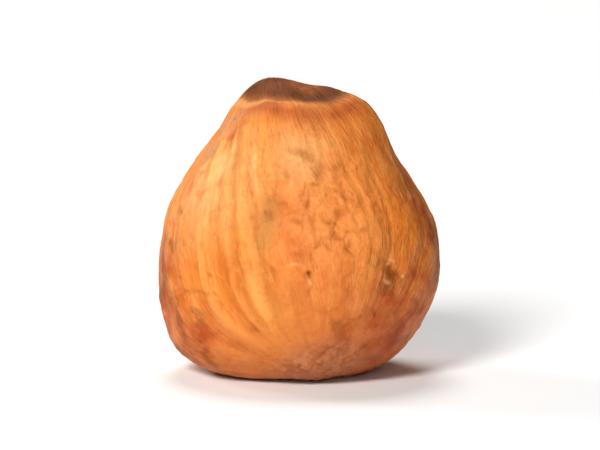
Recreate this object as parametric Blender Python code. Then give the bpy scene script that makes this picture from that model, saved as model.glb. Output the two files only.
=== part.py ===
"""A shelled hazelnut kernel in its brown skin, standing on its base, in metres with +Z up.

The kernel is one solid. It starts as a sphere whose poles become the tip and the base scar. Every
point moves out from the middle to the kernel's form, which four side profiles give, and then gets
its crown, dents, grooves and fibre ridges by formula. The side seen first faces -Y, and the tip
leans a little to the back, towards +Y.
"""

import math

import bmesh
import bpy
import numpy as np

MM = 0.001

# Driving dimensions of the whole kernel as it stands
WIDTH = 15.0 * MM
DEPTH = 14.4 * MM
HEIGHT = 15.7 * MM

# Side profiles from the base to the crown: (distance from the middle line, height), in mm.
# All start and end at the same two places on the middle line.
BOTTOM_MM = (0.0, -0.09)
TOP_MM = (0.0, 15.0)
RIGHT_MM = (
    (2.0, -0.05), (4.0, 0.32), (5.6, 1.40), (6.7, 3.0), (7.4, 4.9), (7.5, 6.2),
    (7.05, 8.3), (5.9, 10.3), (4.8, 12.1), (4.25, 13.4), (3.5, 14.45), (1.9, 14.95),
)
BACK_MM = (
    (2.0, -0.05), (4.0, 0.28), (5.6, 1.30), (6.7, 2.9), (7.2, 4.8), (7.2, 6.4),
    (6.8, 8.4), (6.0, 10.4), (5.0, 12.1), (4.0, 13.4), (3.0, 14.2), (1.7, 14.8),
)
LEFT_MM = (
    (2.4, -0.06), (4.9, 0.18), (6.6, 1.15), (7.35, 3.0), (7.5, 5.2), (7.4, 7.0),
    (7.0, 9.0), (6.2, 10.7), (4.95, 12.3), (3.9, 13.7), (3.1, 14.55), (1.9, 15.0),
)
FRONT_MM = (
    (2.2, -0.05), (4.3, 0.25), (5.9, 1.25), (6.9, 2.9), (7.3, 4.8), (7.2, 6.6),
    (6.7, 8.8), (5.8, 10.7), (4.7, 12.4), (3.6, 13.8), (2.6, 14.65), (1.4, 15.05),
)
MIDDLE_HEIGHT = 6.9 * MM

# Where the tip and the base scar are, seen from the middle of the kernel
TIP_WAY = (-1.5, 1.7, 8.7)
BASE_WAY = (1.1, -5.2, -6.0)

# Grid of the surface: points around the axis, rows from pole to pole, and how far the rows gather
# at the poles
AROUND = 150
ROWS = 40
GATHER = 0.30

# Crown: a low blunt tip with a small point, and the furrow between the tip and the front rim
TIP_PLACE = (-1.6 * MM, 1.6 * MM)
TIP_RADIUS = 2.7 * MM
TIP_RISE = 0.75 * MM
POINT_RADIUS = 0.65 * MM
POINT_RISE = 0.15 * MM
FURROW_PLACE = (-0.3 * MM, 1.3 * MM)
FURROW_RADIUS = 2.9 * MM
FURROW_WIDTH = 0.60 * MM
FURROW_DEPTH = 0.40 * MM
FURROW_MIDDLE = math.radians(-100)
CROWN_FOOT = 13.0 * MM
CROWN_TOP = 14.2 * MM

# Base scar: a rough round patch at the end of the fibres, even at its heart
SCAR_RADIUS = 2.6 * MM
SCAR_EDGE = 0.6 * MM
SCAR_BUMPS = 0.06 * MM
SCAR_SEED = 13
SCAR_CELLS_AROUND = 14
SCAR_CELLS_ALONG = 26
SCAR_HEART = 1.5 * MM

# Fibre ridges, which run from the base to the tip
RIDGE_SEED = 11
RIDGE_HEIGHT = 0.11 * MM
RIDGES_AROUND = 38
RIDGES_ALONG = 4
RIDGES_START = 0.10

# The ridges' wander, as waves: (number round the axis, turn from base to tip, swing, phase)
WANDER = (
    (2, 3.0, 0.07, 0.6),
    (3, -4.0, 0.05, 2.2),
    (7, 5.0, 0.02, 4.1),
)

# Broad unevenness of the body, as waves around the axis: (number of waves, height, phase)
LOBES = (
    (3, 0.08 * MM, 1.9),
    (4, 0.06 * MM, 0.2),
    (5, 0.05 * MM, 4.0),
)

# Flats pressed into the body: (direction, distance from the middle, share kept beyond it)
FLATS = (
    ((-0.80, -0.15, 0.62), 7.45 * MM, 0.55),
    ((0.70, 0.80, 0.15), 6.75 * MM, 0.45),
    ((-0.65, 0.75, 0.00), 6.85 * MM, 0.45),
    ((0.25, -0.95, 0.30), 7.00 * MM, 0.60),
)
FLAT_BLEND = 0.30 * MM

# Shallow dents: (direction, radius, depth)
DENTS = (
    ((-0.26, -0.95, 0.20), 1.3 * MM, 0.20 * MM),
    ((0.62, -0.75, -0.12), 0.9 * MM, 0.14 * MM),
    ((-0.55, 0.60, -0.35), 1.7 * MM, 0.20 * MM),
    ((0.90, 0.30, 0.25), 1.4 * MM, 0.18 * MM),
)

# Grooves from the tip down the body: (angle around the axis, width, depth, length as a share)
GROOVES = (
    (math.radians(68), 0.50 * MM, 0.38 * MM, 0.80),
    (math.radians(165), 0.45 * MM, 0.22 * MM, 0.60),
    (math.radians(-8), 0.45 * MM, 0.20 * MM, 0.55),
)

SKIN_COLOUR = (0.62, 0.25, 0.075, 1.0)
SKIN_ROUGHNESS = 0.55


def clear_scene():
    for obj in list(bpy.data.objects):
        bpy.data.objects.remove(obj, do_unlink=True)


def skin_material():
    material = bpy.data.materials.new("kernel_skin")
    material.use_nodes = True
    shader = material.node_tree.nodes["Principled BSDF"]
    shader.inputs["Base Color"].default_value = SKIN_COLOUR
    shader.inputs["Roughness"].default_value = SKIN_ROUGHNESS
    shader.inputs["Metallic"].default_value = 0.0
    return material


def unit(direction):
    direction = np.asarray(direction, float)
    return direction / np.linalg.norm(direction)


def smooth_step(value):
    value = np.clip(value, 0.0, 1.0)
    return value * value * (3.0 - 2.0 * value)


def smooth_curve(places, values, at):
    """A smooth curve through the values, read at the places asked for."""
    slopes = np.gradient(values, places)
    span = np.clip(np.searchsorted(places, at) - 1, 0, len(places) - 2)
    wide = places[span + 1] - places[span]
    part = (at - places[span]) / wide
    ease = part * part * (3.0 - 2.0 * part)
    start = part * (1.0 - part) ** 2 * wide * slopes[span]
    end = part * part * (1.0 - part) * wide * slopes[span + 1]
    return values[span] * (1.0 - ease) + values[span + 1] * ease + start - end


def cubic_weights(part):
    """Weights of the four lattice points round a place."""
    return (
        part * (-0.5 + part * (1.0 - 0.5 * part)),
        1.0 + part * part * (-2.5 + 1.5 * part),
        part * (0.5 + part * (2.0 - 1.5 * part)),
        part * part * (-0.5 + 0.5 * part),
    )


def lattice_noise(seed, around, along, angle, share):
    """Smooth seeded noise from about -1 to 1 over the angle and the share of the way to the tip."""
    lattice = np.random.default_rng(seed).uniform(-1.0, 1.0, (along + 3, around))
    column = (angle / (2 * math.pi) % 1.0) * around
    row = np.clip(share, 0.0, 1.0) * along
    left = np.floor(column).astype(int)
    low = np.minimum(np.floor(row).astype(int), along - 1)
    total = np.zeros_like(column)
    for i, weight_along in enumerate(cubic_weights(row - low)):
        for j, weight_around in enumerate(cubic_weights(column - left)):
            value = lattice[low + i, (left + j - 1) % around]
            total += weight_along * weight_around * value
    return total


def profile_reach(profile_mm, slope):
    """Distance of one side's profile from the middle, by the angle down from straight up."""
    places = np.array((TOP_MM, *reversed(profile_mm), BOTTOM_MM)) * MM
    out, up = places[:, 0], places[:, 1] - MIDDLE_HEIGHT
    return smooth_curve(np.arctan2(out, up), np.hypot(out, up), slope)


def body_points(ways):
    """Places on the smooth body, with the middle at the origin, for directions from the middle."""
    slope = np.arctan2(np.hypot(ways[:, 0], ways[:, 1]), ways[:, 2])
    turn = np.arctan2(ways[:, 1], ways[:, 0])
    reach = np.zeros_like(slope)
    for side, profile_mm in enumerate((RIGHT_MM, BACK_MM, LEFT_MM, FRONT_MM)):
        facing = np.maximum(np.cos(turn - side * math.pi / 2), 0.0)
        reach += facing**2 * profile_reach(profile_mm, slope)
    return ways * reach[:, None]


def seen_from(place, points):
    """Distance and angle of the points from an upright line at a place."""
    across = points[:, 0] - place[0]
    back = points[:, 1] - place[1]
    return np.hypot(across, back), np.arctan2(back, across)


def crown_rise(points):
    """Height of the tip, its point and the furrow before it over the smooth crown."""
    from_tip, _ = seen_from(TIP_PLACE, points)
    tip = TIP_RISE * np.exp(-((from_tip / TIP_RADIUS) ** 2))
    point = POINT_RISE * np.exp(-((from_tip / POINT_RADIUS) ** 2))
    away, turn = seen_from(FURROW_PLACE, points)
    ring = np.exp(-(((away - FURROW_RADIUS) / FURROW_WIDTH) ** 2))
    before = (0.5 + 0.5 * np.cos(turn - FURROW_MIDDLE)) ** 2
    height = points[:, 2] + MIDDLE_HEIGHT
    on_crown = smooth_step((height - CROWN_FOOT) / (CROWN_TOP - CROWN_FOOT))
    return on_crown * (tip + point - FURROW_DEPTH * before * ring)


def girdle(share):
    """Distance from the axis, as a share of the widest, for a share of the way to the tip."""
    return 2.0 * np.sqrt(share * (1.0 - share))


def lobe_height(angle, share):
    waves = [tall * np.cos(count * angle + phase) for count, tall, phase in LOBES]
    return girdle(share) ** 2 * sum(waves)


def wander(angle, share):
    waves = [swing * np.sin(count * angle + turn * share + phase) for count, turn, swing, phase in WANDER]
    return sum(waves)


def ridge_height(wandered, share):
    ridges = lattice_noise(RIDGE_SEED, RIDGES_AROUND, RIDGES_ALONG, wandered, share)
    return RIDGE_HEIGHT * girdle(share) * smooth_step(share / RIDGES_START) * ridges


def groove_depth(wandered, share):
    total = np.zeros_like(share)
    for at, width, depth, length in GROOVES:
        turned = (wandered - at + math.pi) % (2 * math.pi) - math.pi
        arc = turned * girdle(share) * WIDTH / 2
        fade = np.clip(1.0 - (1.0 - share) / length, 0.0, 1.0)
        total += depth * girdle(share) * fade * np.exp(-((arc / width) ** 2))
    return total


def scar_height(angle, share):
    from_base = girdle(share) * WIDTH / 2
    on_scar = (share < 0.5) * (0.5 - 0.5 * np.tanh((from_base - SCAR_RADIUS) / SCAR_EDGE))
    bumps = lattice_noise(SCAR_SEED, SCAR_CELLS_AROUND, SCAR_CELLS_ALONG, angle, share)
    return on_scar * smooth_step(from_base / SCAR_HEART) * SCAR_BUMPS * bumps


def relief(angle, share):
    """Height over the smooth body at an angle round the axis and a share of the way to the tip."""
    wandered = angle + wander(angle, share)
    raised = lobe_height(angle, share) + ridge_height(wandered, share) + scar_height(angle, share)
    return raised - groove_depth(wandered, share)


def pressed(points):
    """Flats pressed in softly, each along its own direction."""
    for direction, distance, kept in FLATS:
        way = unit(direction)
        beyond = FLAT_BLEND * np.logaddexp(0.0, (points @ way - distance) / FLAT_BLEND)
        points = points - np.outer((1.0 - kept) * beyond, way)
    return points


def dented(points):
    """Shallow round dents, each sunk towards the middle."""
    reach = np.linalg.norm(points, axis=1)
    ways = points / reach[:, None]
    for direction, radius, depth in DENTS:
        cosine = np.clip(ways @ unit(direction), -1.0, 1.0)
        arc = np.arccos(cosine) * reach
        points = points - ways * (depth * np.exp(-((arc / radius) ** 2)))[:, None]
    return points


def set_down(points):
    """Stands the kernel flat on z = 0 at its driving size, centred over the origin."""
    points[:, 2] = np.maximum(points[:, 2] + MIDDLE_HEIGHT, 0.0)
    low, high = points.min(axis=0), points.max(axis=0)
    foot = np.array([(low[0] + high[0]) / 2, (low[1] + high[1]) / 2, 0.0])
    return (points - foot) * np.array([WIDTH, DEPTH, HEIGHT]) / (high - low)


def towards_tip(sphere):
    """The unit sphere turned so that its upper pole points to the tip."""
    tip = unit(TIP_WAY)
    right = unit(np.cross((0.0, 1.0, 0.0), tip))
    back = np.cross(tip, right)
    return sphere @ np.array([right, back, tip])


def bent_to_base(ways, share):
    """Directions turned the more the nearer they are to the lower pole, which goes to the base."""
    below, base = -unit(TIP_WAY), unit(BASE_WAY)
    axis = unit(np.cross(below, base))
    turn = (1.0 - share) * math.acos(below @ base)
    cosine, sine = np.cos(turn)[:, None], np.sin(turn)[:, None]
    along_axis = np.outer(ways @ axis, axis)
    return ways * cosine + np.cross(axis, ways) * sine + along_axis * (1.0 - cosine)


def kernel_points(sphere):
    """Places on the kernel for the points of a unit sphere."""
    angle = np.arctan2(sphere[:, 1], sphere[:, 0])
    down = np.arccos(np.clip(sphere[:, 2], -1.0, 1.0))
    down = down - GATHER / 2 * np.sin(2 * down)
    share = (1.0 + np.cos(down)) / 2
    ring = np.sin(down)
    gathered = np.stack([ring * np.cos(angle), ring * np.sin(angle), np.cos(down)], axis=1)
    ways = bent_to_base(towards_tip(gathered), share)
    points = body_points(ways)
    points = points + ways * (relief(angle, share) + crown_rise(points))[:, None]
    return set_down(dented(pressed(points)))


def build_kernel(collection):
    form = bmesh.new()
    bmesh.ops.create_uvsphere(form, u_segments=AROUND, v_segments=ROWS, radius=1.0)
    sphere = np.array([vertex.co for vertex in form.verts])
    for vertex, place in zip(form.verts, kernel_points(sphere)):
        vertex.co = place
    bmesh.ops.recalc_face_normals(form, faces=form.faces)
    mesh = bpy.data.meshes.new("kernel")
    form.to_mesh(mesh)
    form.free()
    mesh.shade_smooth()
    mesh.materials.append(skin_material())
    kernel = bpy.data.objects.new("kernel", mesh)
    collection.objects.link(kernel)
    return kernel


def main():
    clear_scene()
    hazelnut = bpy.data.collections.new("hazelnut")
    bpy.context.scene.collection.children.link(hazelnut)
    build_kernel(hazelnut)


main()
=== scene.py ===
"""The looks of a shelled hazelnut kernel: its fine skin relief, its material and a plain studio.

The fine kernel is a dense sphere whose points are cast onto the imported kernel's form, smoothed over
its facets, and given fibres, wrinkles, pits and the rough scar by formula. The same formulas are
kept on the points, and the skin's material reads them for its colours. Lengths are in metres.
"""

import math

import bpy
import numpy as np
from mathutils import Matrix, Vector, noise
from mathutils.bvhtree import BVHTree


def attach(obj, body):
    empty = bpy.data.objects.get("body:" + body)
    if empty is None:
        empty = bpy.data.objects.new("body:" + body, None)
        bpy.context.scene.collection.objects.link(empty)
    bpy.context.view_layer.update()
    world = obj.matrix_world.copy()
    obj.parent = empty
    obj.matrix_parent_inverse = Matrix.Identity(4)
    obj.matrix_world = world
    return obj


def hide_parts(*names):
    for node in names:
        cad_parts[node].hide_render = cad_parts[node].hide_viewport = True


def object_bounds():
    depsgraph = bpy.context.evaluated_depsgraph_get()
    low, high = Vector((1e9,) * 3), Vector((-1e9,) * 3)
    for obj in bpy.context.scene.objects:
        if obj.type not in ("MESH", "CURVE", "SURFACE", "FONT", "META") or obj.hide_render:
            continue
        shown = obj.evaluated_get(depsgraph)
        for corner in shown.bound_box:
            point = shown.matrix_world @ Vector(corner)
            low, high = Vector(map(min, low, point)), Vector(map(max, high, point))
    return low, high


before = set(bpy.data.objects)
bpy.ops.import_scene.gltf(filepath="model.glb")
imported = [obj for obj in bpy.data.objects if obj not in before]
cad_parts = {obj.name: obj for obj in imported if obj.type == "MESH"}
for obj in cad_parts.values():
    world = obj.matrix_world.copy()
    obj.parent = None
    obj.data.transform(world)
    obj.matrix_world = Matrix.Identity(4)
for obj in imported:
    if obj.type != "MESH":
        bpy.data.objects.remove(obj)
cad_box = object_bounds()

MM = 0.001
NODE = "kernel"

# The fibre field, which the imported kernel's ridges follow: the tip and the base scar as seen from
# the middle of the kernel, and the fibres' wander as waves (number round the axis, turn from base
# to tip, swing, phase)
MIDDLE_HEIGHT = 6.9 * MM
TIP_WAY = (-1.5, 1.7, 8.7)
BASE_WAY = (1.1, -5.2, -6.0)
WANDER = (
    (2, 3.0, 0.07, 0.6),
    (3, -4.0, 0.05, 2.2),
    (7, 5.0, 0.02, 4.1),
)
GIRTH_RADIUS = 7.4
FIBRE_LENGTH = 21.0
SETTLING_STEPS = 12

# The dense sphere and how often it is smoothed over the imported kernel's facets
DOUBLINGS = 7
SMOOTHINGS = 10

# Fibres as (cells per mm round, cells per mm along, height), how far they sway to the side in mm,
# how near the poles they fade, how many cells per mm the stretches have where they sink away, and
# the span of their heights that the material reads as 0 to 1
FIBRES = (
    (0.75, 0.10, 0.062 * MM),
    (1.9, 0.20, 0.026 * MM),
)
SWAY = 0.22
SWAY_CELLS = 0.55
SWAY_SEEDS = (31, 32)
POLE_FADE = 0.40
SINKING_CELLS = 0.33
SINKING_SEED = 21
FIBRE_SPAN = 0.20 * MM

# Lumps and wrinkles as (cells per mm, height)
LUMPS = (
    (0.45, 0.10 * MM),
    (1.2, 0.045 * MM),
    (2.9, 0.020 * MM),
)
LUMP_SEED = 11

# Marks seen on the front, each (right of the middle, height, half its width, half its height,
# lean in degrees), all lengths in mm. The patch is the wrinkled one in the middle: its lumps outdo
# and its fibres fall behind those of the rest. Stains are small and soft, one of them painted shade;
# the wide faint marks are partly painted shade and partly amber tones; the sheen marks are a greyish
# pink painted sheen; the dimples' olive brown is painted shade; and the light flecks are painted
# highlights. MARK_SWAY is how far the small marks' edges wander, and MARK_CELLS the cells per mm of
# that wander.
MARK_SWAY = 0.22 * MM
MARK_CELLS = 1.6
MARK_SEEDS = (51, 52, 53)
PATCH = (1.2, 8.6, 3.6, 3.6, 0)
PATCH_LUMPS = 2.2
PATCH_CALM = 0.80
DARK_PITS = (
    (4.85, 5.93, 0.34, 0.60, 28),
    (0.50, 5.65, 0.16, 0.20, 10),
)
STAINS_AND_STEP_SHADE = (
    (1.10, 11.35, 0.26, 0.60, 5),
    (0.25, 12.05, 0.95, 0.16, -18),
    (2.05, 11.55, 0.24, 0.42, -15),
    (-0.70, 11.10, 0.14, 0.50, 10),
    (0.85, 10.60, 0.40, 0.13, 0),
    (0.50, 9.60, 0.13, 0.40, 0),
    (2.20, 9.05, 0.27, 0.24, 15),
    (1.60, 8.50, 0.22, 0.20, 0),
    (2.45, 9.90, 0.14, 0.34, 5),
    (-1.70, 9.00, 0.24, 0.26, 15),
    (-1.00, 9.50, 0.30, 0.14, -20),
    (-0.20, 8.60, 0.36, 0.16, -10),
    (1.95, 7.70, 0.36, 0.15, -25),
    (2.58, 7.22, 0.17, 0.42, -32),
    (3.40, 8.05, 0.20, 0.26, 0),
    (4.00, 6.87, 0.24, 0.28, 20),
    # Painted shade along the step at the lower left of the patch
    (-1.45, 5.90, 0.17, 0.66, 38),
    (0.50, 5.62, 0.24, 0.26, 10),
    (-2.45, 2.78, 0.42, 0.24, -35),
    (-6.40, 9.08, 0.13, 0.20, 0),
    (-4.80, 5.70, 0.13, 0.17, 0),
    (0.56, 4.77, 0.11, 0.15, 0),
    (6.10, 4.45, 0.22, 0.22, 0),
)
RED_SPOTS_AND_SHADE = (
    (6.05, 5.70, 0.45, 0.35, 0),
    (6.85, 5.30, 0.30, 0.60, 0),
    (5.35, 3.00, 0.40, 0.35, 0),
    (4.81, 4.43, 0.45, 0.32, -15),
    (5.90, 3.90, 0.50, 0.60, 0),
    (4.07, 3.17, 0.42, 0.40, 0),
    (4.60, 2.10, 0.80, 0.50, 20),
    (2.43, 2.50, 0.40, 0.30, 0),
    (-6.80, 6.10, 0.35, 0.45, 0),
    (-5.00, 2.60, 0.80, 0.60, -20),
    # Painted shade below the raised bump
    (-0.24, 6.76, 0.50, 0.30, 0),
    (-3.60, 13.05, 0.20, 0.18, 0),
    # Painted shade along the front of the crown, under the rim
    (2.75, 14.60, 0.60, 0.25, -15),
    (-1.20, 14.45, 1.70, 0.20, -4),
)
# Painted highlights: pale flecks where light catches the lower rims of the pits and of the raised bump, and
# pale streaks of light on the upper left
PAINTED_HIGHLIGHTS = (
    (4.60, 5.32, 0.22, 0.13, 0),
    (4.85, 6.50, 0.24, 0.12, 0),
    (5.35, 5.65, 0.16, 0.12, 0),
    (-0.37, 6.20, 0.36, 0.12, 0),
    (0.55, 5.26, 0.12, 0.11, 0),
    (-4.05, 11.70, 0.36, 1.40, -34),
    (-2.50, 11.50, 0.22, 1.70, 2),
)
RAISED = (
    (0.60, 7.70, 0.90, 0.70, 0),
    (2.30, 6.10, 1.00, 0.55, -10),
    (-0.30, 12.80, 1.20, 0.60, 0),
)
RAISED_HEIGHT = 0.12 * MM
# Shallow dimples, sunk into the skin; their olive brown is painted shade
SHADED_DIMPLES = (
    (-1.80, 8.45, 0.58, 1.50, -4),
    (-4.70, 12.15, 0.17, 0.80, -40),
)
# Painted sheen: greyish pink streaks of light along the upper left edge
PAINTED_EDGE_SHEEN = (
    (-3.70, 13.80, 0.30, 1.30, -37),
    (-4.70, 12.45, 0.22, 0.70, -38),
)
# Wide faint marks: painted shade in the lower middle and beside the dimple, and amber and olive bands
# elsewhere
SHADE_AND_TONE_MARKS = (
    (-0.35, 4.55, 0.80, 0.60, 0),
    (-0.10, 3.10, 0.35, 0.60, -10),
    (2.75, 3.45, 0.38, 0.65, 0),
    (-6.30, 7.90, 0.26, 0.65, 0),
    (-4.60, 8.60, 0.16, 0.90, 0),
    (-4.10, 10.10, 0.18, 0.75, -10),
    (-3.10, 12.10, 0.15, 1.40, 0),
    (-1.30, 9.40, 0.55, 0.45, 0),
)
CREASE = (-5.65, 4.78, 1.35, 0.17, -4)

SEEN_MARKS = {
    "stains_and_step_shade": STAINS_AND_STEP_SHADE,
    "painted_highlights": PAINTED_HIGHLIGHTS,
    "edge_sheen": PAINTED_EDGE_SHEEN,
    "shade_and_tone": SHADE_AND_TONE_MARKS,
    "shaded_dimples": SHADED_DIMPLES,
    "crease": (CREASE,),
}

# Lines along the fibres, each through a place seen on the front: (right of the middle, height,
# half its width), all in mm. The light lines are raised folds whose pale colour is painted highlight; the
# dark lines on the left are painted shade between the folds and at the patch's step, and those on the
# right are dark streaks.
LIT_FOLD_LINES = (
    (-5.27, 8.0, 0.40),
    (-3.90, 8.0, 0.16),
    (-2.85, 8.0, 0.50),
)
DARK_AND_SHADED_LINES = (
    (-4.35, 8.0, 0.18),
    (-3.50, 8.0, 0.20),
    (-2.05, 7.0, 0.24),
    (3.05, 10.0, 0.13),
    (3.70, 8.5, 0.18),
    (4.50, 9.5, 0.15),
)
LINE_HEIGHT = 0.08 * MM

# How deep the skin sinks in each kind of mark
HOLLOWS = {
    "patch": 0.10 * MM,
    "shaded_dimples": 0.10 * MM,
    "crease": 0.09 * MM,
    "pits": 0.11 * MM,
    "stains_and_step_shade": 0.08 * MM,
    "dark_and_shaded_lines": 0.06 * MM,
}

# Broad tints, each as blots of (direction from the middle, spread in radians). The pale blots facing the
# upper left and the top of the front are painted light; the ruddy and rust blots on the two edges and the
# mauve ones underneath are partly painted shade and partly the skin's own tones.
TINTS = {
    "gold": (((0.85, -0.50, 0.15), 0.40), ((-0.70, 0.60, 0.20), 0.50), ((-0.60, -0.80, -0.05), 0.40)),
    "ruddy_and_edge_shade": (
        ((0.62, -0.62, -0.45), 0.45),
        ((0.98, -0.12, -0.05), 0.32),
        ((0.93, -0.25, 0.32), 0.22),
        ((0.20, 0.95, 0.10), 0.50),
        ((-0.70, -0.40, -0.60), 0.31),
        ((-0.97, -0.20, -0.10), 0.24),
        ((-0.90, -0.30, -0.36), 0.26),
    ),
    "rust_tone_and_edge_shade": (
        ((0.96, -0.25, -0.03), 0.27),
        ((0.84, -0.22, 0.50), 0.27),
        ((-0.97, -0.15, -0.20), 0.22),
        ((0.30, 0.95, -0.10), 0.30),
    ),
    "pale_and_lit": (
        ((-0.70, -0.55, 0.48), 0.42),
        ((0.00, -0.67, 0.75), 0.22),
        ((0.60, 0.60, 0.50), 0.35),
        ((-0.30, 0.80, -0.50), 0.40),
    ),
    "mauve_and_underside_shade": (((0.05, -0.50, -0.86), 0.70), ((0.00, 0.30, -0.95), 0.60)),
}

# Marks strewn over the rest, as how many, and the smallest and the largest radius
STREWN_PITS = (170, 0.06 * MM, 0.20 * MM)
STREWN_SPOTS = (70, 0.25 * MM, 0.75 * MM)
STREW_SEED = 5
FRONT_BLEND = 3.0 * MM

# The scar, the foot with few fibres round it and the tip, as distances from the two ends of the
# fibres. SCAR_PLATE is how far in from their borders the scar's plates still rise, as a share of a
# cell, and SCAR_LEVEL the share of their height that is level with the skin.
SCAR_RADIUS = 2.3 * MM
SCAR_EDGE = 0.60 * MM
SCAR_CELLS = 1.9
SCAR_SEED = 4
SCAR_BUMPS = 0.08 * MM
SCAR_PLATE = 0.4
SCAR_LEVEL = 0.7
FOOT_RADIUS = 5.6 * MM
FOOT_EDGE = 1.6 * MM
FOOT_CALM = 0.88
TIP_RADIUS = 0.55 * MM
TIP_EDGE = 0.16 * MM

# The crown: the cap round the tip, darker partly by painted shade, with a furrow of painted shade in it,
# its rim with a painted pale highlight and the collar of painted shade round that, as distances from an
# upright line. They sway by CAP_SWAY over cells of CAP_CELLS per mm and bulge outward on one side. The
# rim's painted highlight is strongest where it faces RIM_FACING, and the collar's painted shade grows from
# left to right.
CROWN_FOOT = 12.5 * MM
CAP_PLACE = (-0.3 * MM, 1.3 * MM)
CAP_SWAY = 0.30 * MM
CAP_CELLS = 0.7
CAP_SEED = 41
RIM_SEED = 42
COLLAR_SEED = 43
CAP_RADIUS = 2.9 * MM
CAP_EDGE = 0.45 * MM
RIM_RADIUS = 3.3 * MM
RIM_WIDTH = 0.32 * MM
RIM_FACING = (-0.86, -0.5)
CAP_BULGE = 0.7 * MM
CAP_BULGE_WAY = math.radians(-65)
CAP_BULGE_SPREAD = 0.5
FURROW_RADIUS = 2.2 * MM
FURROW_WIDTH = 0.75 * MM
COLLAR_RADIUS = 3.85 * MM
COLLAR_WIDTH = 0.50 * MM
COLLAR_START = -3.6 * MM
COLLAR_GROWTH = 1.6 * MM

# The skin's patterns, as cells per metre, and as cells per mm (round, round, along) in fibre space.
# Where the threads are calmed they fade to an even grey.
CLOUD_SCALE = 240.0
CURL_SCALE = 760.0
BLOTCH_SCALE = 850.0
MOTTLE_SCALE = 1000.0
SCAR_SCALE = 1500.0
SPECK_SCALE = 3600.0
GRAIN_SCALE = 7000.0
STREAK_STRETCH = (1.1, 1.1, 0.16)
THREAD_STRETCH = (4.2, 4.2, 0.50)
VEIN_STRETCH = (1.7, 1.7, 0.26)
EVEN_GREY = (0.5, 0.5, 0.5, 1.0)

# How far the grain moves the edge of a crisp mark, how rough the skin is in the mottle's dark and
# light places, how much it shines, and the bumps from the lowest layer up
EDGE_BREAK = 1.1
ROUGHNESS_STOPS = ((0.3, 0.46), (0.7, 0.66))
SKIN_SPECULAR = 0.14
BUMPS = (
    ("threads", 0.085 * MM),
    ("folds", 0.06 * MM),
    ("veins", 0.02 * MM),
    ("specks", 0.045 * MM),
    ("grain", 0.02 * MM),
)

# Camera and studio, each light as (name, place, size, watts, colour)
VIEW_ELEVATION = math.radians(9)
CAMERA_DISTANCE = 0.55
FRAME_HEIGHT = 24.0 * MM
PICTURE_WIDTH = 600
PICTURE_HEIGHT = 450
SENSOR_WIDTH = 36.0
FLOOR_RADIUS = 1.2
FLOOR_SIDES = 96
FLOOR_ROUGHNESS = 0.8
FLOOR_SPECULAR = 0.2
FLOOR_COLOUR = (0.90, 0.90, 0.90, 1.0)
WORLD_COLOUR = (1.0, 1.0, 1.0, 1.0)
WORLD_STRENGTH = 0.06
LIGHT_AIM = (0.0, 0.0, 0.007)
LIGHTS = (
    ("key", (-0.31, -0.69, 0.52), 0.30, 8.4, (1.0, 0.985, 0.96)),
    ("fill", (0.06, -0.88, 0.24), 0.40, 1.4, (1.0, 1.0, 1.0)),
    ("top", (-0.05, 0.42, 0.80), 0.40, 4.2, (1.0, 1.0, 1.0)),
    ("back left", (-0.62, 0.40, 0.40), 0.25, 2.0, (1.0, 1.0, 1.0)),
)


def unit(direction):
    direction = np.asarray(direction, float)
    return direction / np.linalg.norm(direction)


def smooth_step(value):
    value = np.clip(value, 0.0, 1.0)
    return value * value * (3.0 - 2.0 * value)


def inside(distance, radius, edge):
    """1 within a radius, 0 beyond it, with a soft edge."""
    return 0.5 - 0.5 * np.tanh((distance - radius) / edge)


def near_radius(distance, radius, width):
    """1 at a radius, falling off on both sides of it."""
    return np.exp(-(((distance - radius) / width) ** 2))


def turn_between(angle, start):
    """The turn from one angle to others, from half a turn back to half a turn on."""
    return (angle - start + math.pi) % (2 * math.pi) - math.pi


def turned(ways, axis, turn):
    """Directions turned about an axis, each by its own angle."""
    cosine, sine = np.cos(turn)[:, None], np.sin(turn)[:, None]
    along_axis = np.outer(ways @ axis, axis)
    return ways * cosine + np.cross(axis, ways) * sine + along_axis * (1.0 - cosine)


def fibre_places(ways):
    """The angle round the kernel and the share of the way from base to tip, along the fibres."""
    tip = unit(TIP_WAY)
    base = unit(BASE_WAY)
    axis = unit(np.cross(-tip, base))
    bend = math.acos(-tip @ base)
    straight = ways
    for _ in range(SETTLING_STEPS):
        share = (1.0 + straight @ tip) / 2
        straight = turned(ways, axis, -(1.0 - share) * bend)
    right = unit(np.cross((0.0, 1.0, 0.0), tip))
    back = np.cross(tip, right)
    angle = np.arctan2(straight @ back, straight @ right)
    share = np.clip(share, 0.0, 1.0)
    waves = [swing * np.sin(count * angle + turn * share + phase) for count, turn, swing, phase in WANDER]
    return angle + sum(waves), share


def fibre_space(angle, share):
    """A place in mm whose third number runs along the fibres, with no seam round the kernel."""
    down = np.arccos(1.0 - 2.0 * share) / math.pi
    ring = GIRTH_RADIUS
    return np.stack([ring * np.cos(angle), ring * np.sin(angle), FIBRE_LENGTH * down], axis=1)


def swayed(space, points):
    """The fibre space with its fibres bent a little to the side and back by chance."""
    across = [noise_over(points / MM, SWAY_CELLS, seed) for seed in SWAY_SEEDS]
    return space + SWAY * np.stack([*across, np.zeros(len(points))], axis=1)


def noise_over(places, cells, seed):
    """Smooth noise from about -1 to 1 at places in mm."""
    shift = np.array([17.3, 41.9, 7.7]) * seed
    return np.array([noise.noise(place) for place in places * np.asarray(cells) + shift])


def cell_borders(places, cells, seed):
    """Distance to the nearest border between irregular cells, about 0 on it to 1 inside."""
    shift = np.array([23.1, 5.3, 61.7]) * seed
    borders = []
    for place in places * np.asarray(cells) + shift:
        distances, _ = noise.voronoi(place)
        borders.append(distances[1] - distances[0])
    return np.array(borders)


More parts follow.
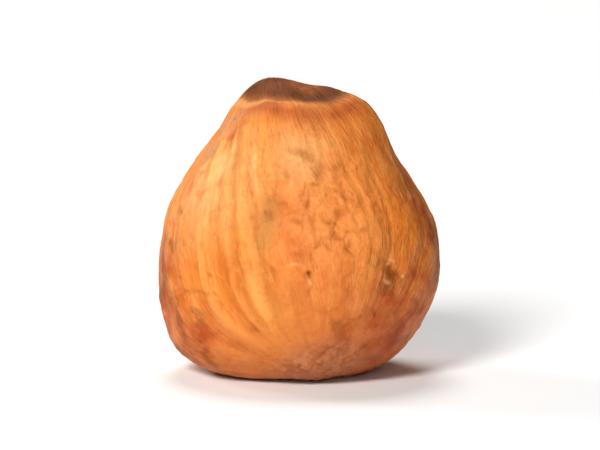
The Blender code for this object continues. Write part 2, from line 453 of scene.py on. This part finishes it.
def dense_sphere():
    """A cube doubled over and over, and the direction of each of its points on a sphere."""
    bpy.ops.mesh.primitive_cube_add(size=2.0)
    cube = bpy.context.object
    doubling = cube.modifiers.new("doubling", "SUBSURF")
    doubling.subdivision_type = "SIMPLE"
    doubling.levels = DOUBLINGS
    doubled = cube.evaluated_get(bpy.context.evaluated_depsgraph_get())
    mesh = bpy.data.meshes.new_from_object(doubled)
    bpy.data.objects.remove(cube, do_unlink=True)
    places = np.empty(len(mesh.vertices) * 3)
    mesh.vertices.foreach_get("co", places)
    places = np.tan(places.reshape(-1, 3) * math.pi / 4)
    return mesh, places / np.linalg.norm(places, axis=1, keepdims=True)


def cast_reach(node, ways, middle):
    """Distance from the middle to the node's surface along each direction."""
    corners = [vertex.co for vertex in node.data.vertices]
    tree = BVHTree.FromPolygons(corners, [face.vertices for face in node.data.polygons])
    start = Vector(middle)
    return np.array([tree.ray_cast(start, Vector(way))[3] for way in ways])


def smoothed(mesh, values):
    """Values evened out over neighbouring points."""
    ends = np.empty(len(mesh.edges) * 2, dtype=int)
    mesh.edges.foreach_get("vertices", ends)
    ends = ends.reshape(-1, 2)
    count = len(values)
    neighbours = np.bincount(ends.ravel(), minlength=count)
    for _ in range(SMOOTHINGS):
        total = np.bincount(ends[:, 0], values[ends[:, 1]], count)
        total += np.bincount(ends[:, 1], values[ends[:, 0]], count)
        values = (values + total / neighbours) / 2
    return values


def seen_mark(points, mark):
    """How much each point lies in a mark that is placed as seen from the camera."""
    right, height, wide, tall, lean = mark
    up = points[:, 2] * math.cos(VIEW_ELEVATION) + points[:, 1] * math.sin(VIEW_ELEVATION)
    across = points[:, 0] / MM - right
    rise = (up - up.min()) / MM - height
    cosine, sine = math.cos(math.radians(lean)), math.sin(math.radians(lean))
    first = (across * cosine + rise * sine) / wide
    second = (rise * cosine - across * sine) / tall
    return (points[:, 1] < 0.0) * np.exp(-(first**2 + second**2))


def seen_marks(points, marks):
    return np.max([seen_mark(points, mark) for mark in marks], axis=0)


def fibre_lines(points, angle, share, lines):
    """How much each point lies on a line along the fibres through one of the places seen."""
    girdle = 2.0 * np.sqrt(share * (1.0 - share))
    total = np.zeros(len(points))
    for right, height, wide in lines:
        through = angle[np.argmax(seen_mark(points, (right, height, 0.5, 0.5, 0)))]
        off = turn_between(angle, through) * girdle * GIRTH_RADIUS
        total = np.maximum(total, np.exp(-((off / wide) ** 2)))
    return total * smooth_step((girdle - POLE_FADE) / (1.0 - POLE_FADE) * 2.0)


def tint_masks(ways):
    masks = {}
    for name, blots in TINTS.items():
        turns = [(np.arccos(np.clip(ways @ unit(way), -1.0, 1.0)), spread) for way, spread in blots]
        masks[name] = np.max([np.exp(-((turn / spread) ** 2)) for turn, spread in turns], axis=0)
    return masks


def strewn_marks(points, along_ways, kind, draw):
    """How much each point lies in one of many marks strewn by chance, longer along the fibres."""
    count, smallest, largest = kind
    total = np.zeros(len(points))
    for place in draw.integers(0, len(points), count):
        radius = draw.uniform(smallest, largest)
        stretch = draw.uniform(1.0, 1.9)
        strength = draw.uniform(0.4, 1.0)
        away = points - points[place]
        along = away @ along_ways[place]
        across = np.einsum("ij,ij->i", away, away) - along**2
        total = np.maximum(total, strength * np.exp(-(across + (along / stretch) ** 2) / radius**2))
    return total


def along_fibres(points, share):
    """The direction over the surface towards the tip, at each point."""
    towards = points[np.argmax(share)] - points
    outward = points - np.array([0.0, 0.0, MIDDLE_HEIGHT])
    outward /= np.linalg.norm(outward, axis=1, keepdims=True)
    towards -= outward * np.einsum("ij,ij->i", towards, outward)[:, None]
    return towards / np.maximum(np.linalg.norm(towards, axis=1, keepdims=True), 1e-9)


def all_strewn(points, share):
    """The strewn pits and spots, few of them on the front, where the marks are as seen."""
    draw = np.random.default_rng(STREW_SEED)
    ways = along_fibres(points, share)
    elsewhere = 1.0 - 0.8 * smooth_step(-points[:, 1] / FRONT_BLEND)
    return [elsewhere * strewn_marks(points, ways, kind, draw) for kind in (STREWN_PITS, STREWN_SPOTS)]


def crown_masks(points):
    """The cap, darker partly by painted shade, its furrow of painted shade, its rim's painted highlight and
    the collar of painted shade, by name.
    """
    across = points[:, :2] - CAP_PLACE
    away = np.linalg.norm(across, axis=1)
    facing = 0.5 + 0.5 * (across @ RIM_FACING) / np.maximum(away, 0.1 * MM)
    away += CAP_SWAY * noise_over(points / MM, CAP_CELLS, CAP_SEED)
    off_bulge = turn_between(np.arctan2(across[:, 1], across[:, 0]), CAP_BULGE_WAY)
    away -= CAP_BULGE * np.exp(-((off_bulge / CAP_BULGE_SPREAD) ** 2))
    on_crown = smooth_step((points[:, 2] - CROWN_FOOT) / MM)
    rim_highlight = facing**2 * np.clip(0.7 + noise_over(points / MM, CAP_CELLS, RIM_SEED), 0.0, 1.0)
    collar_shade = smooth_step((points[:, 0] - COLLAR_START) / COLLAR_GROWTH)
    collar_shade *= np.clip(0.9 + 0.8 * noise_over(points / MM, CAP_CELLS, COLLAR_SEED), 0.0, 1.0)
    return {
        "shaded_cap": on_crown * inside(away, CAP_RADIUS, CAP_EDGE),
        "furrow_shade": on_crown * near_radius(away, FURROW_RADIUS, FURROW_WIDTH),
        "rim_highlight": on_crown * rim_highlight * near_radius(away, RIM_RADIUS, RIM_WIDTH),
        "collar_shade": on_crown * collar_shade * near_radius(away, COLLAR_RADIUS, COLLAR_WIDTH),
    }


def skin_masks(points, outward, angle, share):
    """What each point of the skin is, and where light and shade are painted on it, by name, as values from
    0 to 1.
    """
    from_tip = np.linalg.norm(points - points[np.argmax(share)], axis=1)
    from_scar = np.linalg.norm(points - points[np.argmin(share)], axis=1)
    shifts = [noise_over(points / MM, MARK_CELLS, seed) for seed in MARK_SEEDS]
    wandered = points + MARK_SWAY * np.stack(shifts, axis=1)
    strewn_pits, strewn_spots = all_strewn(points, share)
    patch = seen_mark(points, PATCH)
    foot = inside(from_scar, FOOT_RADIUS, FOOT_EDGE)
    return {
        "scar": inside(from_scar, SCAR_RADIUS, SCAR_EDGE),
        "tip": inside(from_tip, TIP_RADIUS, TIP_EDGE),
        "patch": patch,
        "calm": np.maximum(PATCH_CALM * patch, FOOT_CALM * foot),
        "pits": np.maximum(seen_marks(wandered, DARK_PITS), strewn_pits),
        "red": np.maximum(seen_marks(wandered, RED_SPOTS_AND_SHADE), strewn_spots),
        "lit_fold_lines": fibre_lines(points, angle, share, LIT_FOLD_LINES),
        "dark_and_shaded_lines": fibre_lines(points, angle, share, DARK_AND_SHADED_LINES),
        **{name: seen_marks(wandered, marks) for name, marks in SEEN_MARKS.items()},
        **crown_masks(points),
        **tint_masks(outward),
    }


def fibre_height(points, space, share, masks):
    """Height of the fibres over the smooth skin: narrow crests with broad hollows between them."""
    girdle = 2.0 * np.sqrt(share * (1.0 - share))
    body = (1.0 - masks["scar"]) * smooth_step(girdle / POLE_FADE) * (1.0 - masks["calm"])
    body *= 0.75 + 0.9 * noise_over(points / MM, SINKING_CELLS, SINKING_SEED)
    total = np.zeros(len(space))
    for seed, (round_cells, along_cells, height) in enumerate(FIBRES):
        field = noise_over(space, (round_cells, round_cells, along_cells), seed + 1)
        total += height * (1.0 - 3.0 * np.abs(field))
    return body * total


def lump_height(points, masks):
    total = np.zeros(len(points))
    for seed, (cells, height) in enumerate(LUMPS):
        more = PATCH_LUMPS * masks["patch"] if seed > 0 else 0.0
        total += (1.0 + more) * height * noise_over(points / MM, cells, seed + LUMP_SEED)
    return total + RAISED_HEIGHT * seen_marks(points, RAISED)


def scar_height(points, masks):
    plates = np.minimum(cell_borders(points / MM, SCAR_CELLS, SCAR_SEED), SCAR_PLATE) / SCAR_PLATE
    return masks["scar"] * SCAR_BUMPS * (plates - SCAR_LEVEL)


def fine_kernel():
    """The kernel with its fine relief, and what each point is, as attributes for the material."""
    mesh, ways = dense_sphere()
    middle = np.array([0.0, 0.0, MIDDLE_HEIGHT])
    reach = smoothed(mesh, cast_reach(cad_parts[NODE], ways, middle))
    points = middle + ways * reach[:, None]
    angle, share = fibre_places(ways)
    space = swayed(fibre_space(angle, share), points)
    masks = skin_masks(points, ways, angle, share)
    fibres = fibre_height(points, space, share, masks)
    rise = fibres + lump_height(points, masks) + scar_height(points, masks)
    rise += LINE_HEIGHT * masks["lit_fold_lines"]
    for name, depth in HOLLOWS.items():
        rise -= depth * masks[name]
    points = points + ways * rise[:, None]
    points[:, 2] = np.maximum(points[:, 2], 0.0)

    mesh.vertices.foreach_set("co", points.ravel())
    keep_attribute(mesh, "fibre_space", "FLOAT_VECTOR", space)
    keep_attribute(mesh, "fibres", "FLOAT", 0.5 + fibres / FIBRE_SPAN)
    for name, values in masks.items():
        keep_attribute(mesh, name, "FLOAT", values)
    mesh.name = "kernel_skin"
    mesh.shade_smooth()
    mesh.update()
    kernel = bpy.data.objects.new("kernel_skin", mesh)
    bpy.context.scene.collection.objects.link(kernel)
    return kernel


def keep_attribute(mesh, name, kind, values):
    attribute = mesh.attributes.new(name, kind, "POINT")
    field = "vector" if kind == "FLOAT_VECTOR" else "value"
    attribute.data.foreach_set(field, np.ascontiguousarray(values, dtype=np.float32).ravel())


def linear(red, green, blue):
    """A colour given as picture values from 0 to 255, as the linear colour that shaders take."""
    parts = []
    for value in (red, green, blue):
        value = value / 255
        parts.append(value / 12.92 if value <= 0.04045 else ((value + 0.055) / 1.055) ** 2.4)
    return (*parts, 1.0)


class Nodes:
    """Short calls for building a material's node tree."""

    def __init__(self, material):
        material.use_nodes = True
        self.tree = material.node_tree
        self.shader = self.tree.nodes["Principled BSDF"]

    def add(self, kind, **settings):
        node = self.tree.nodes.new(kind)
        for name, value in settings.items():
            setattr(node, name, value)
        return node

    def link(self, source, target):
        self.tree.links.new(source, target)

    def feed(self, socket, value):
        if isinstance(value, bpy.types.NodeSocket):
            self.link(value, socket)
        else:
            socket.default_value = value

    def attribute(self, name, output="Fac"):
        return self.add("ShaderNodeAttribute", attribute_name=name).outputs[output]

    def noise(self, place, scale, detail, roughness, stretch=(1.0, 1.0, 1.0), shift=0.0):
        mapping = self.add("ShaderNodeMapping")
        self.link(place, mapping.inputs["Vector"])
        mapping.inputs["Scale"].default_value = stretch
        mapping.inputs["Location"].default_value = (shift, shift, shift)
        texture = self.add("ShaderNodeTexNoise")
        self.link(mapping.outputs["Vector"], texture.inputs["Vector"])
        texture.inputs["Scale"].default_value = scale
        texture.inputs["Detail"].default_value = detail
        texture.inputs["Roughness"].default_value = roughness
        return texture.outputs["Fac"]

    def ramp(self, value, *stops):
        """A value passed through straight runs between (place, value) stops."""
        node = self.add("ShaderNodeValToRGB")
        self.link(value, node.inputs["Fac"])
        elements = node.color_ramp.elements
        for index, (place, level) in enumerate(stops):
            element = elements[index] if index < 2 else elements.new(place)
            element.position = place
            element.color = (level, level, level, 1.0)
        return node.outputs["Color"]

    def math(self, operation, first, second):
        node = self.add("ShaderNodeMath", operation=operation)
        self.feed(node.inputs[0], first)
        self.feed(node.inputs[1], second)
        return node.outputs["Value"]

    def mix(self, factor, first, second):
        node = self.add("ShaderNodeMix", data_type="RGBA")
        self.feed(node.inputs["Factor"], factor)
        self.feed(node.inputs["A"], first)
        self.feed(node.inputs["B"], second)
        return node.outputs["Result"]

    def bump(self, height, distance, below):
        node = self.add("ShaderNodeBump")
        self.link(height, node.inputs["Height"])
        node.inputs["Distance"].default_value = distance
        if below is not None:
            self.link(below, node.inputs["Normal"])
        return node.outputs["Normal"]


class Paint:
    """A colour built up in layers, each laid over what is there already."""

    def __init__(self, nodes, mottle, colour):
        self.nodes = nodes
        self.mottle = mottle
        self.colour = colour

    def layer(self, factor, colour):
        self.colour = self.nodes.mix(factor, self.colour, linear(*colour))

    def scaled(self, field, most, colour):
        self.layer(self.nodes.math("MULTIPLY", field, most), colour)

    def masked(self, name, most, colour):
        self.layer(self.nodes.ramp(self.nodes.attribute(name), (0.05, 0.0), (0.95, most)), colour)

    def speckled(self, name, colour, *stops):
        """Lays a mask that the mottle breaks up."""
        speckles = self.nodes.ramp(self.mottle, *stops)
        self.layer(self.nodes.math("MULTIPLY", self.nodes.attribute(name), speckles), colour)

    def two_toned(self, name, most, dark, light):
        """Lays a mask in two tones that the mottle mixes."""
        share = self.nodes.ramp(self.mottle, (0.42, 0.0), (0.60, 1.0))
        tone = self.nodes.mix(share, linear(*dark), linear(*light))
        factor = self.nodes.ramp(self.nodes.attribute(name), (0.1, 0.0), (0.9, most))
        self.colour = self.nodes.mix(factor, self.colour, tone)

    def marked(self, name, grain, most, colour):
        """Lays a soft mask made crisper, with its edge broken up by the grain."""
        mask = self.nodes.attribute(name)
        shift = self.nodes.math("MULTIPLY", self.nodes.math("SUBTRACT", grain, 0.5), EDGE_BREAK)
        within = self.nodes.ramp(mask, (0.03, 0.0), (0.25, 1.0))
        shown = self.nodes.math("MULTIPLY", self.nodes.math("ADD", mask, shift), within)
        self.layer(self.nodes.ramp(shown, (0.20, 0.0), (0.80, most)), colour)


def paint_tints(paint, fields):
    """Cloudy patches and the broad tints, some of them painted light and shade, with blots and blushes
    where the ruddy tint lies.
    """
    clouds = paint.nodes.noise(fields["place"], CLOUD_SCALE, 3.0, 0.60)
    paint.layer(paint.nodes.ramp(clouds, (0.42, 0.0), (0.66, 0.50)), (206, 100, 36))
    paint.masked("gold", 0.80, (216, 112, 14))
    # Painted light facing the upper left and the top of the front, and a paler tone behind
    paint.masked("pale_and_lit", 0.50, (240, 188, 124))
    paint.masked("patch", 0.35, (238, 152, 92))
    # Ruddy and rust tones, partly painted shade on the two edges and the lower right
    paint.masked("ruddy_and_edge_shade", 0.70, (156, 66, 22))
    paint.masked("rust_tone_and_edge_shade", 0.52, (124, 48, 10))
    paint.scaled(fields["blots"], 0.75, (122, 50, 12))
    paint.scaled(fields["blushes"], 0.40, (232, 142, 92))
    # Mauve tone, partly painted shade underneath
    paint.masked("mauve_and_underside_shade", 0.60, (164, 90, 58))


def paint_fibres(paint, fields):
    """Lines along the fibres, the pale ones painted highlight on folds and the dark ones partly painted
    shade, threads, dark hollows, mottles, wrinkles, worn crests and veins.
    """
    nodes = paint.nodes
    fibres = nodes.attribute("fibres")
    # Painted highlight on the raised folds, and painted shade between them with dark streaks on the right
    paint.masked("lit_fold_lines", 0.32, (246, 176, 92))
    paint.masked("dark_and_shaded_lines", 0.40, (172, 104, 34))
    paint.layer(nodes.ramp(fibres, (0.10, 0.30), (0.50, 0.0)), (166, 84, 24))
    paint.layer(nodes.ramp(fields["threads"], (0.34, 0.19), (0.50, 0.0)), (168, 82, 24))
    paint.layer(nodes.ramp(fields["threads"], (0.52, 0.0), (0.68, 0.16)), (242, 170, 88))
    paint.layer(nodes.ramp(fields["mottle"], (0.50, 0.0), (0.66, 0.45)), (180, 84, 26))
    paint.speckled("patch", (176, 88, 30), (0.38, 0.40), (0.50, 0.0))
    paint.scaled(fields["wrinkles"], 0.55, (172, 88, 34))
    rubbed = nodes.ramp(fields["specks"], (0.4, 0.3), (0.6, 1.0))
    worn = nodes.math("MULTIPLY", nodes.ramp(fibres, (0.60, 0.0), (1.0, 0.28)), rubbed)
    paint.layer(worn, (244, 186, 106))
    paint.scaled(fields["veins"], 0.16, (246, 190, 116))


def paint_marks(paint, fields):
    """The single marks, the scar, the crown and the tip, painted shade, sheen and highlights among them,
    from the softest to the sharpest.
    """
    mottle, specks = fields["mottle"], fields["specks"]
    # Red spots broken up by the mottle, with painted shade below the bump and along the crown's front
    paint.speckled("red", (170, 60, 18), (0.36, 0.30), (0.60, 0.70))
    # Painted shade and amber tones in wide faint marks
    paint.masked("shade_and_tone", 0.40, (184, 102, 42))
    # Painted sheen along the upper left edge, greyish pink
    paint.masked("edge_sheen", 0.60, (196, 140, 104))
    # Painted olive brown shade in the dimples
    paint.masked("shaded_dimples", 0.62, (172, 124, 60))
    paint.two_toned("scar", 0.60, (156, 86, 54), (196, 130, 90))
    # The cap's darker tones, partly painted shade, and the painted shade of the furrow and the collar
    paint.two_toned("shaded_cap", 0.84, (104, 48, 16), (152, 86, 44))
    paint.masked("furrow_shade", 0.62, (82, 36, 8))
    paint.masked("collar_shade", 0.68, (166, 80, 36))
    # Stains, and painted shade along the patch's lower left step
    paint.masked("stains_and_step_shade", 0.56, (156, 84, 26))
    # Painted highlight on the crown's rim
    paint.marked("rim_highlight", mottle, 0.42, (240, 178, 112))
    paint.marked("crease", specks, 0.44, (172, 98, 28))
    # Painted highlights, laid as pale flecks with broken edges
    paint.marked("painted_highlights", mottle, 0.32, (248, 196, 130))
    paint.marked("pits", specks, 0.84, (120, 56, 8))
    paint.layer(paint.nodes.attribute("tip"), (220, 186, 136))


def skin_colour(nodes, fields):
    """Orange brown skin: two tones mixed by long streaks, under the tints, the fibres and the marks, with
    light and shade painted among them.
    """
    streaks = nodes.noise(fields["space"], 1.0, 4.0, 0.62, STREAK_STRETCH, 3.0)
    tones = linear(208, 112, 36), linear(232, 146, 62)
    paint = Paint(nodes, fields["mottle"], nodes.mix(nodes.ramp(streaks, (0.30, 0.0), (0.70, 1.0)), *tones))
    for step in (paint_tints, paint_fibres, paint_marks):
        step(paint, fields)
    return paint.colour


def thread_pattern(nodes, place, space):
    """Fine threads along the fibres, calmed in places, with a rough pattern on the scar instead."""
    threads = nodes.noise(space, 1.0, 2.5, 0.62, THREAD_STRETCH, 5.0)
    threads = nodes.mix(nodes.attribute("calm"), threads, EVEN_GREY)
    return nodes.mix(nodes.attribute("scar"), threads, nodes.noise(place, SCAR_SCALE, 4.0, 0.65))


def vein_lines(nodes, space):
    """A net of thin lines, long along the fibres, that fades where the fibres are calm."""
    network = nodes.noise(space, 1.0, 2.0, 0.5, VEIN_STRETCH, 14.0)
    veins = nodes.ramp(network, (0.46, 0.0), (0.50, 1.0), (0.54, 0.0))
    return nodes.math("MULTIPLY", veins, nodes.ramp(nodes.attribute("calm"), (0.0, 1.0), (1.0, 0.0)))


def wrinkle_lines(nodes, place, mottle):
    """Curling lines on the patch, worn away here and there."""
    curls = nodes.noise(place, CURL_SCALE, 1.5, 0.5, shift=9.0)
    curls = nodes.ramp(curls, (0.42, 0.0), (0.49, 1.0), (0.56, 0.0))
    wrinkles = nodes.math("MULTIPLY", nodes.attribute("patch"), curls)
    return nodes.math("MULTIPLY", wrinkles, nodes.ramp(mottle, (0.35, 1.0), (0.60, 0.3)))


def skin_fields(nodes):
    """The patterns that the skin's colour, gloss and bump share."""
    place = nodes.add("ShaderNodeTexCoord").outputs["Object"]
    space = nodes.attribute("fibre_space", "Vector")
    mottle = nodes.noise(place, MOTTLE_SCALE, 5.0, 0.68)
    blotches = nodes.noise(place, BLOTCH_SCALE, 2.5, 0.55, shift=4.0)
    # The ruddy tint's mask, partly painted edge shade, where the blots and blushes lie
    ruddy_and_edge_shade = nodes.ramp(nodes.attribute("ruddy_and_edge_shade"), (0.05, 0.0), (0.60, 1.0))
    wrinkles = wrinkle_lines(nodes, place, mottle)
    return {
        "place": place,
        "space": space,
        "mottle": mottle,
        "blots": nodes.math("MULTIPLY", ruddy_and_edge_shade, nodes.ramp(blotches, (0.38, 1.0), (0.46, 0.0))),
        "blushes": nodes.math("MULTIPLY", ruddy_and_edge_shade, nodes.ramp(blotches, (0.50, 0.0), (0.62, 1.0))),
        "wrinkles": wrinkles,
        "folds": nodes.math("SUBTRACT", 1.0, wrinkles),
        "specks": nodes.noise(place, SPECK_SCALE, 3.0, 0.6),
        "grain": nodes.noise(place, GRAIN_SCALE, 2.0, 0.6),
        "threads": thread_pattern(nodes, place, space),
        "veins": vein_lines(nodes, space),
    }


def skin_material():
    material = bpy.data.materials.new("hazelnut_skin")
    nodes = Nodes(material)
    shader = nodes.shader
    fields = skin_fields(nodes)
    nodes.link(skin_colour(nodes, fields), shader.inputs["Base Color"])
    nodes.link(nodes.ramp(fields["mottle"], *ROUGHNESS_STOPS), shader.inputs["Roughness"])
    normal = None
    for name, height in BUMPS:
        normal = nodes.bump(fields[name], height, normal)
    nodes.link(normal, shader.inputs["Normal"])
    shader.inputs["Specular IOR Level"].default_value = SKIN_SPECULAR
    return material


def floor_material():
    material = bpy.data.materials.new("studio_floor")
    nodes = Nodes(material)
    nodes.shader.inputs["Base Color"].default_value = FLOOR_COLOUR
    nodes.shader.inputs["Roughness"].default_value = FLOOR_ROUGHNESS
    nodes.shader.inputs["Specular IOR Level"].default_value = FLOOR_SPECULAR
    return material


def add_floor():
    bpy.ops.mesh.primitive_circle_add(vertices=FLOOR_SIDES, radius=FLOOR_RADIUS, fill_type="NGON")
    floor = bpy.context.object
    floor.name = "studio_floor"
    floor.data.materials.append(floor_material())


def add_light(name, place, size, watts, colour):
    light = bpy.data.lights.new(name, "AREA")
    light.shape = "DISK"
    light.size = size
    light.energy = watts
    light.color = colour
    lamp = bpy.data.objects.new(name, light)
    bpy.context.scene.collection.objects.link(lamp)
    aim = Vector(LIGHT_AIM) - Vector(place)
    lamp.matrix_world = Matrix.Translation(place) @ aim.to_track_quat("-Z", "Y").to_matrix().to_4x4()


def add_lights():
    for light in LIGHTS:
        add_light(*light)


def add_world():
    world = bpy.data.worlds.new("studio")
    world.use_nodes = True
    background = world.node_tree.nodes["Background"]
    background.inputs["Color"].default_value = WORLD_COLOUR
    background.inputs["Strength"].default_value = WORLD_STRENGTH
    bpy.context.scene.world = world


def add_camera():
    """A long lens at the photograph's height, with the kernel in the middle of the picture."""
    low, high = cad_box
    aim = Vector(((low[0] + high[0]) / 2, (low[1] + high[1]) / 2, (low[2] + high[2]) / 2))
    camera = bpy.data.cameras.new("camera")
    camera.sensor_width = SENSOR_WIDTH
    frame_width = FRAME_HEIGHT * PICTURE_WIDTH / PICTURE_HEIGHT
    camera.lens = SENSOR_WIDTH * CAMERA_DISTANCE / frame_width
    holder = bpy.data.objects.new("camera", camera)
    bpy.context.scene.collection.objects.link(holder)
    back = Vector((0.0, -math.cos(VIEW_ELEVATION), math.sin(VIEW_ELEVATION)))
    turn = (-back).to_track_quat("-Z", "Y").to_matrix().to_4x4()
    holder.matrix_world = Matrix.Translation(aim + back * CAMERA_DISTANCE) @ turn
    bpy.context.scene.camera = holder


def add_kernel():
    kernel = fine_kernel()
    kernel.data.materials.append(skin_material())
    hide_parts(NODE)
    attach(kernel, "root")


add_camera()
add_kernel()
add_floor()
add_lights()
add_world()
bpy.context.scene.view_settings.view_transform = "Standard"
